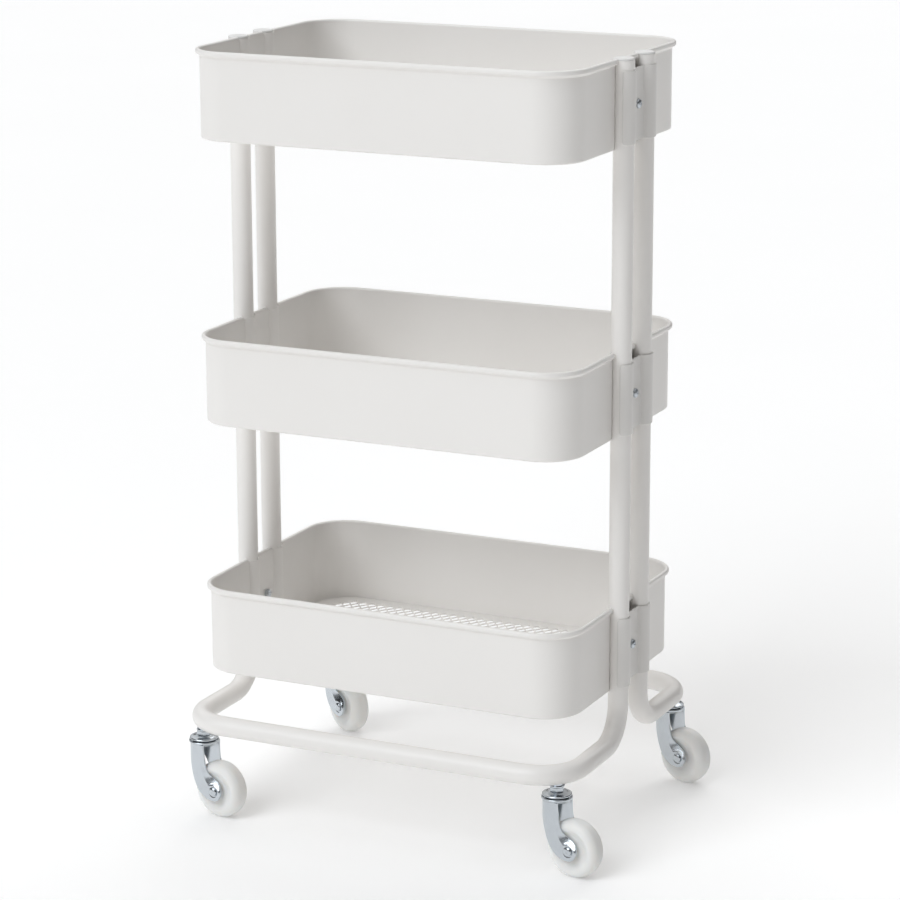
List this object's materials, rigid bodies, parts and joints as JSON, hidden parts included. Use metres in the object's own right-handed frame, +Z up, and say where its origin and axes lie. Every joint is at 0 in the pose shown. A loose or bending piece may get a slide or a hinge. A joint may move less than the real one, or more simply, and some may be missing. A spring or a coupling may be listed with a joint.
{
  "type": "rolling pantry cart",
  "caption": "White steel rolling pantry cart: open mesh-floored trays clamped between paired bent-tube legs on swivel casters.",
  "frame": {"origin": "on the floor, midway between the four caster stems", "axes": "+X along the trays' long side, -Y towards the front, +Z up"},
  "size_m": [0.4676, 0.3404, 0.78],
  "materials": {
    "powder_coat": "satin off-white powder coat",
    "cap_plastic": "moulded, satin",
    "zinc_plate": "bright zinc plated, smooth",
    "bearing_steel": "polished hardened steel",
    "nylon": "milky white moulded nylon, satin"
  },
  "bodies": {
    "frame": {"front_leg_frame": "powder_coat", "rear_leg_frame": "powder_coat", "caster_inserts": "zinc_plate", "front_left_leg_cap": "cap_plastic", "front_right_leg_cap": "cap_plastic", "rear_right_leg_cap": "cap_plastic", "rear_left_leg_cap": "cap_plastic", "top_tray": "powder_coat", "top_tray_floor": "powder_coat", "top_left_clamp": "powder_coat", "top_right_clamp": "powder_coat", "top_clamp_screws": "zinc_plate", "top_clamp_nuts": "zinc_plate", "bottom_tray": "powder_coat", "bottom_tray_floor": "powder_coat", "bottom_left_clamp": "powder_coat", "bottom_right_clamp": "powder_coat", "bottom_clamp_screws": "zinc_plate", "bottom_clamp_nuts": "zinc_plate", "front_left_caster_stem": "zinc_plate", "front_left_caster_race": "zinc_plate", "front_left_caster_balls": "bearing_steel", "front_right_caster_stem": "zinc_plate", "front_right_caster_race": "zinc_plate", "front_right_caster_balls": "bearing_steel", "rear_right_caster_stem": "zinc_plate", "rear_right_caster_race": "zinc_plate", "rear_right_caster_balls": "bearing_steel", "rear_left_caster_stem": "zinc_plate", "rear_left_caster_race": "zinc_plate", "rear_left_caster_balls": "bearing_steel"},
    "middle_shelf": {"middle_tray": "powder_coat", "middle_tray_floor": "powder_coat", "middle_left_clamp": "powder_coat", "middle_right_clamp": "powder_coat", "middle_clamp_screws": "zinc_plate", "middle_clamp_nuts": "zinc_plate"},
    "front_left_fork": {"front_left_caster_fork": "zinc_plate", "front_left_caster_axle": "zinc_plate"},
    "front_left_wheel": {"front_left_caster_wheel": "nylon"},
    "front_right_fork": {"front_right_caster_fork": "zinc_plate", "front_right_caster_axle": "zinc_plate"},
    "front_right_wheel": {"front_right_caster_wheel": "nylon"},
    "rear_right_fork": {"rear_right_caster_fork": "zinc_plate", "rear_right_caster_axle": "zinc_plate"},
    "rear_right_wheel": {"rear_right_caster_wheel": "nylon"},
    "rear_left_fork": {"rear_left_caster_fork": "zinc_plate", "rear_left_caster_axle": "zinc_plate"},
    "rear_left_wheel": {"rear_left_caster_wheel": "nylon"}
  },
  "joints": [
    {"name": "middle_shelf_height", "type": "slide", "parent": "frame", "child": "middle_shelf", "axis": [0, 0, 1], "range_m": [-0.166, 0.194]},
    {"name": "front_left_swivel", "type": "hinge", "parent": "frame", "child": "front_left_fork", "pos_m": [-0.19591, -0.14741, 0.075], "axis": [0, 0, 1], "continuous": true},
    {"name": "front_left_roll", "type": "hinge", "parent": "front_left_fork", "child": "front_left_wheel", "pos_m": [-0.1739, -0.15208, 0.029], "axis": [0.2079, 0.9781, 0], "continuous": true},
    {"name": "front_right_swivel", "type": "hinge", "parent": "frame", "child": "front_right_fork", "pos_m": [0.19591, -0.14741, 0.075], "axis": [0, 0, 1], "continuous": true},
    {"name": "front_right_roll", "type": "hinge", "parent": "front_right_fork", "child": "front_right_wheel", "pos_m": [0.21791, -0.15208, 0.029], "axis": [0.2079, 0.9781, 0], "continuous": true},
    {"name": "rear_right_swivel", "type": "hinge", "parent": "frame", "child": "rear_right_fork", "pos_m": [0.19591, 0.14741, 0.075], "axis": [0, 0, 1], "continuous": true},
    {"name": "rear_right_roll", "type": "hinge", "parent": "rear_right_fork", "child": "rear_right_wheel", "pos_m": [0.2173, 0.14045, 0.029], "axis": [0.309, 0.9511, 0], "continuous": true},
    {"name": "rear_left_swivel", "type": "hinge", "parent": "frame", "child": "rear_left_fork", "pos_m": [-0.19591, 0.14741, 0.075], "axis": [0, 0, 1], "continuous": true},
    {"name": "rear_left_roll", "type": "hinge", "parent": "rear_left_fork", "child": "rear_left_wheel", "pos_m": [-0.17642, 0.13616, 0.029], "axis": [0.5, 0.866, 0], "continuous": true}
  ]
}
